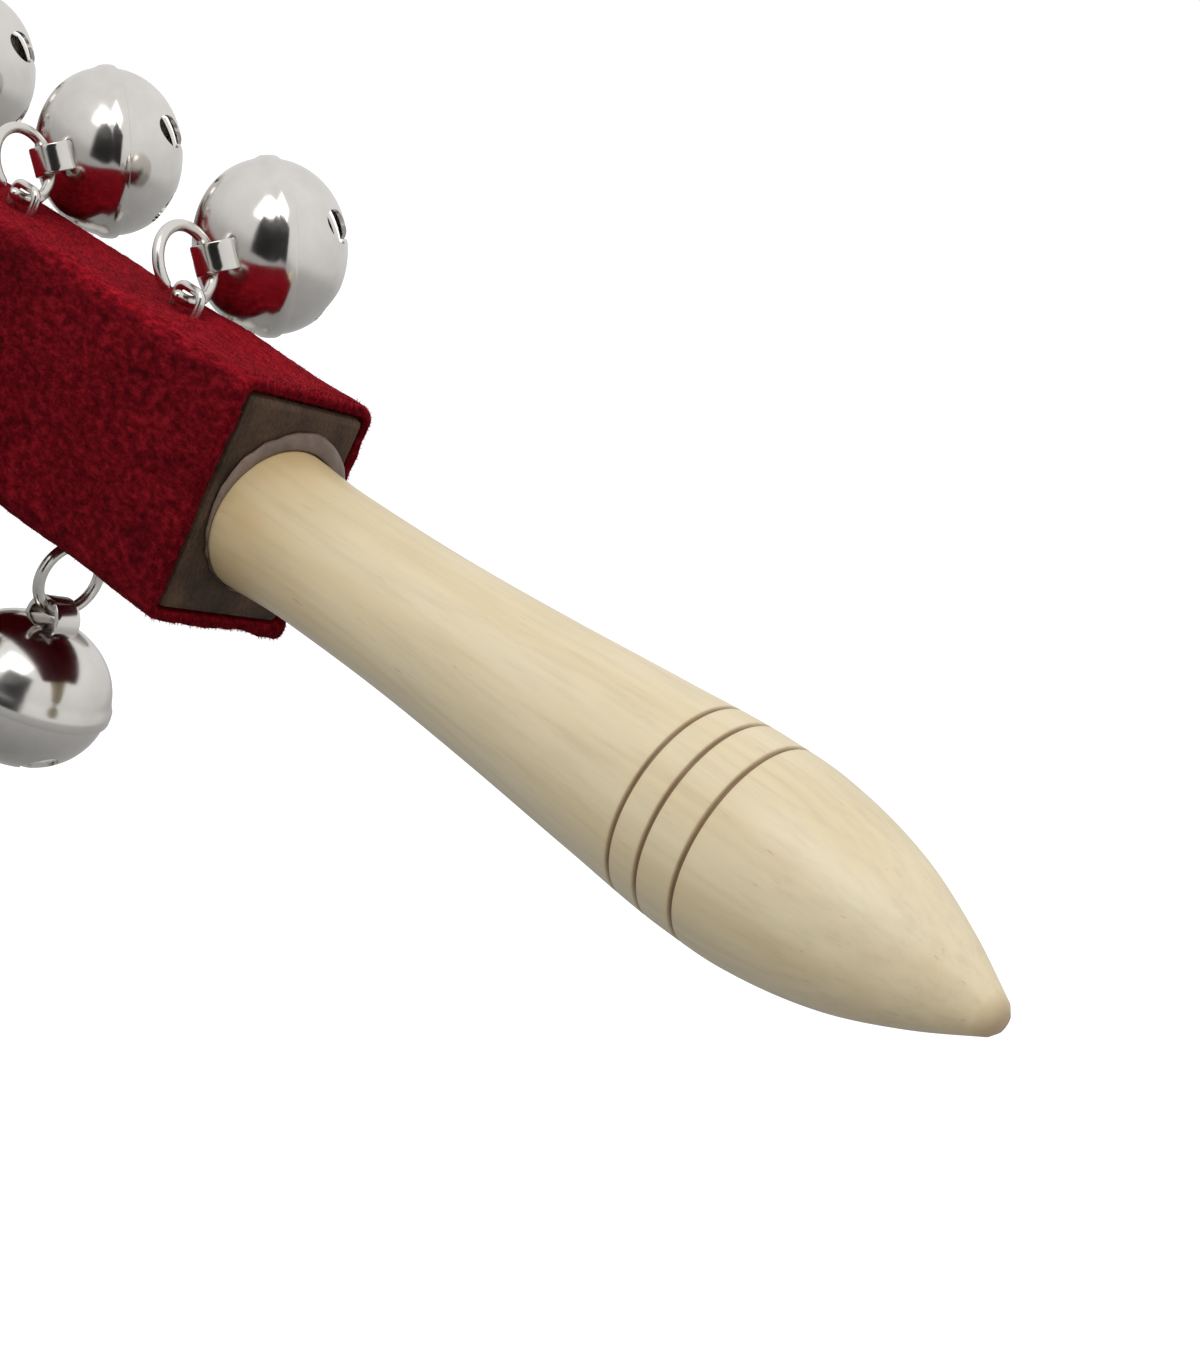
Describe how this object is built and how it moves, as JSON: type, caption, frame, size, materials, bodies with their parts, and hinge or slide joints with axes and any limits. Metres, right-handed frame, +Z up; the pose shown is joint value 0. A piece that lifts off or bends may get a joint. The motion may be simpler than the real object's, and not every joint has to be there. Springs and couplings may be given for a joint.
{
  "type": "jingle bell stick",
  "caption": "Hand-held jingle bell stick: turned wooden handle glued into a velvet-wrapped block, with round slotted bells hanging from stapled wire rings.",
  "frame": {"origin": "middle of the hand grip, on the handle's axis", "axes": "+X along the stick towards the handle's tip, +Z up, out of the block's top face"},
  "size_m": [0.2711, 0.0763, 0.0915],
  "materials": {
    "maple": "satin clear coat over pale turned wood",
    "block_wood": "raw dark end grain",
    "red_velvet": "short-pile velvet",
    "dried_glue": "dried translucent glue",
    "polished_nickel": "polished nickel plate",
    "steel": "plain steel ball"
  },
  "bodies": {
    "stick": {"handle": "maple", "block": "block_wood", "cover": "red_velvet", "glue_bead": "dried_glue", "top_1_staple": "polished_nickel", "top_2_staple": "polished_nickel", "top_3_staple": "polished_nickel", "bottom_1_staple": "polished_nickel", "bottom_2_staple": "polished_nickel", "bottom_3_staple": "polished_nickel", "back_1_staple": "polished_nickel", "back_2_staple": "polished_nickel", "front_1_staple": "polished_nickel", "front_2_staple": "polished_nickel", "end_staple": "polished_nickel"},
    "top_1_link": {"top_1_ring": "polished_nickel"},
    "top_1_bell": {"top_1_upper_shell": "polished_nickel", "top_1_lower_shell": "polished_nickel"},
    "top_1_ball": {"top_1_pellet": "steel"},
    "top_2_link": {"top_2_ring": "polished_nickel"},
    "top_2_bell": {"top_2_upper_shell": "polished_nickel", "top_2_lower_shell": "polished_nickel"},
    "top_2_ball": {"top_2_pellet": "steel"},
    "top_3_link": {"top_3_ring": "polished_nickel"},
    "top_3_bell": {"top_3_upper_shell": "polished_nickel", "top_3_lower_shell": "polished_nickel"},
    "top_3_ball": {"top_3_pellet": "steel"},
    "bottom_1_link": {"bottom_1_ring": "polished_nickel"},
    "bottom_1_bell": {"bottom_1_upper_shell": "polished_nickel", "bottom_1_lower_shell": "polished_nickel"},
    "bottom_1_ball": {"bottom_1_pellet": "steel"},
    "bottom_2_link": {"bottom_2_ring": "polished_nickel"},
    "bottom_2_bell": {"bottom_2_upper_shell": "polished_nickel", "bottom_2_lower_shell": "polished_nickel"},
    "bottom_2_ball": {"bottom_2_pellet": "steel"},
    "bottom_3_link": {"bottom_3_ring": "polished_nickel"},
    "bottom_3_bell": {"bottom_3_upper_shell": "polished_nickel", "bottom_3_lower_shell": "polished_nickel"},
    "bottom_3_ball": {"bottom_3_pellet": "steel"},
    "back_1_link": {"back_1_ring": "polished_nickel"},
    "back_1_bell": {"back_1_upper_shell": "polished_nickel", "back_1_lower_shell": "polished_nickel"},
    "back_1_ball": {"back_1_pellet": "steel"},
    "back_2_link": {"back_2_ring": "polished_nickel"},
    "back_2_bell": {"back_2_upper_shell": "polished_nickel", "back_2_lower_shell": "polished_nickel"},
    "back_2_ball": {"back_2_pellet": "steel"},
    "front_1_link": {"front_1_ring": "polished_nickel"},
    "front_1_bell": {"front_1_upper_shell": "polished_nickel", "front_1_lower_shell": "polished_nickel"},
    "front_1_ball": {"front_1_pellet": "steel"},
    "front_2_link": {"front_2_ring": "polished_nickel"},
    "front_2_bell": {"front_2_upper_shell": "polished_nickel", "front_2_lower_shell": "polished_nickel"},
    "front_2_ball": {"front_2_pellet": "steel"},
    "end_link": {"end_ring": "polished_nickel"},
    "end_bell": {"end_upper_shell": "polished_nickel", "end_lower_shell": "polished_nickel"},
    "end_ball": {"end_pellet": "steel"}
  },
  "joints": [
    {"name": "top_1_ring_swivel", "type": "hinge", "parent": "stick", "child": "top_1_link", "pos_m": [-0.078, -0.00096, 0.01773], "axis": [0, 0, 1], "range_deg": [-30, 0]},
    {"name": "top_1_bell_swing", "type": "hinge", "parent": "top_1_link", "child": "top_1_bell", "pos_m": [-0.08082, -0.00096, 0.02337], "axis": [0.8387, 0, 0.5446], "range_deg": [0, 134]},
    {"name": "top_1_pellet_rattle", "type": "slide", "parent": "top_1_bell", "child": "top_1_ball", "axis": [0, 0, 1], "range_m": [0, 0.01701]},
    {"name": "top_2_ring_swivel", "type": "hinge", "parent": "stick", "child": "top_2_link", "pos_m": [-0.116, -0.00096, 0.01773], "axis": [0, 0, 1], "range_deg": [-30, 0]},
    {"name": "top_2_bell_swing", "type": "hinge", "parent": "top_2_link", "child": "top_2_bell", "pos_m": [-0.11882, -0.00096, 0.02337], "axis": [0.8387, 0, 0.5446], "range_deg": [0, 134]},
    {"name": "top_2_pellet_rattle", "type": "slide", "parent": "top_2_bell", "child": "top_2_ball", "axis": [0, 0, 1], "range_m": [0, 0.01701]},
    {"name": "top_3_ring_swivel", "type": "hinge", "parent": "stick", "child": "top_3_link", "pos_m": [-0.154, -0.00096, 0.01773], "axis": [0, 0, 1], "range_deg": [-30, 0]},
    {"name": "top_3_bell_swing", "type": "hinge", "parent": "top_3_link", "child": "top_3_bell", "pos_m": [-0.15682, -0.00096, 0.02337], "axis": [0.8387, 0, 0.5446], "range_deg": [0, 134]},
    {"name": "top_3_pellet_rattle", "type": "slide", "parent": "top_3_bell", "child": "top_3_ball", "axis": [0, 0, 1], "range_m": [0, 0.01701]},
    {"name": "bottom_1_ring_swivel", "type": "hinge", "parent": "stick", "child": "bottom_1_link", "pos_m": [-0.078, -0.00096, -0.01657], "axis": [0, 0, -1], "range_deg": [-40, 40]},
    {"name": "bottom_1_bell_swing", "type": "hinge", "parent": "bottom_1_link", "child": "bottom_1_bell", "pos_m": [-0.078, -0.00096, -0.02304], "axis": [1, 0, 0], "range_deg": [-50, 50]},
    {"name": "bottom_1_pellet_rattle", "type": "slide", "parent": "bottom_1_bell", "child": "bottom_1_ball", "axis": [0, 0, 1], "range_m": [0, 0.0144]},
    {"name": "bottom_2_ring_swivel", "type": "hinge", "parent": "stick", "child": "bottom_2_link", "pos_m": [-0.116, -0.00096, -0.01657], "axis": [0, 0, -1], "range_deg": [-40, 40]},
    {"name": "bottom_2_bell_swing", "type": "hinge", "parent": "bottom_2_link", "child": "bottom_2_bell", "pos_m": [-0.116, -0.00096, -0.02304], "axis": [1, 0, 0], "range_deg": [-50, 50]},
    {"name": "bottom_2_pellet_rattle", "type": "slide", "parent": "bottom_2_bell", "child": "bottom_2_ball", "axis": [0, 0, 1], "range_m": [0, 0.0144]},
    {"name": "bottom_3_ring_swivel", "type": "hinge", "parent": "stick", "child": "bottom_3_link", "pos_m": [-0.154, -0.00096, -0.01657], "axis": [0, 0, -1], "range_deg": [-40, 40]},
    {"name": "bottom_3_bell_swing", "type": "hinge", "parent": "bottom_3_link", "child": "bottom_3_bell", "pos_m": [-0.154, -0.00096, -0.02304], "axis": [1, 0, 0], "range_deg": [-50, 50]},
    {"name": "bottom_3_pellet_rattle", "type": "slide", "parent": "bottom_3_bell", "child": "bottom_3_ball", "axis": [0, 0, 1], "range_m": [0, 0.0144]},
    {"name": "back_1_ring_swivel", "type": "hinge", "parent": "stick", "child": "back_1_link", "pos_m": [-0.097, 0.01204, 0.00058], "axis": [0, 1, 0], "range_deg": [-40, 40]},
    {"name": "back_1_bell_swing", "type": "hinge", "parent": "back_1_link", "child": "back_1_bell", "pos_m": [-0.097, 0.01852, 0.00058], "axis": [1, 0, 0], "range_deg": [0, 95]},
    {"name": "back_1_pellet_rattle", "type": "slide", "parent": "back_1_bell", "child": "back_1_ball", "axis": [0, 0, 1], "range_m": [0, 0.01474]},
    {"name": "back_2_ring_swivel", "type": "hinge", "parent": "stick", "child": "back_2_link", "pos_m": [-0.135, 0.01204, 0.00058], "axis": [0, 1, 0], "range_deg": [-40, 40]},
    {"name": "back_2_bell_swing", "type": "hinge", "parent": "back_2_link", "child": "back_2_bell", "pos_m": [-0.135, 0.01852, 0.00058], "axis": [1, 0, 0], "range_deg": [0, 95]},
    {"name": "back_2_pellet_rattle", "type": "slide", "parent": "back_2_bell", "child": "back_2_ball", "axis": [0, 0, 1], "range_m": [0, 0.01474]},
    {"name": "front_1_ring_swivel", "type": "hinge", "parent": "stick", "child": "front_1_link", "pos_m": [-0.097, -0.01396, 0.00058], "axis": [0, -1, 0], "range_deg": [-40, 40]},
    {"name": "front_1_bell_swing", "type": "hinge", "parent": "front_1_link", "child": "front_1_bell", "pos_m": [-0.097, -0.02043, 0.00058], "axis": [-1, 0, 0], "range_deg": [0, 95]},
    {"name": "front_1_pellet_rattle", "type": "slide", "parent": "front_1_bell", "child": "front_1_ball", "axis": [0, 0, 1], "range_m": [0, 0.01474]},
    {"name": "front_2_ring_swivel", "type": "hinge", "parent": "stick", "child": "front_2_link", "pos_m": [-0.135, -0.01396, 0.00058], "axis": [0, -1, 0], "range_deg": [-40, 40]},
    {"name": "front_2_bell_swing", "type": "hinge", "parent": "front_2_link", "child": "front_2_bell", "pos_m": [-0.135, -0.02043, 0.00058], "axis": [-1, 0, 0], "range_deg": [0, 95]},
    {"name": "front_2_pellet_rattle", "type": "slide", "parent": "front_2_bell", "child": "front_2_ball", "axis": [0, 0, 1], "range_m": [0, 0.01474]},
    {"name": "end_ring_swivel", "type": "hinge", "parent": "stick", "child": "end_link", "pos_m": [-0.176, -0.00096, 0.00058], "axis": [-1, 0, 0], "range_deg": [-40, 40]},
    {"name": "end_bell_swing", "type": "hinge", "parent": "end_link", "child": "end_bell", "pos_m": [-0.18247, -0.00096, 0.00058], "axis": [0, 1, 0], "range_deg": [0, 95]},
    {"name": "end_pellet_rattle", "type": "slide", "parent": "end_bell", "child": "end_ball", "axis": [0, 0, 1], "range_m": [0, 0.01474]}
  ]
}
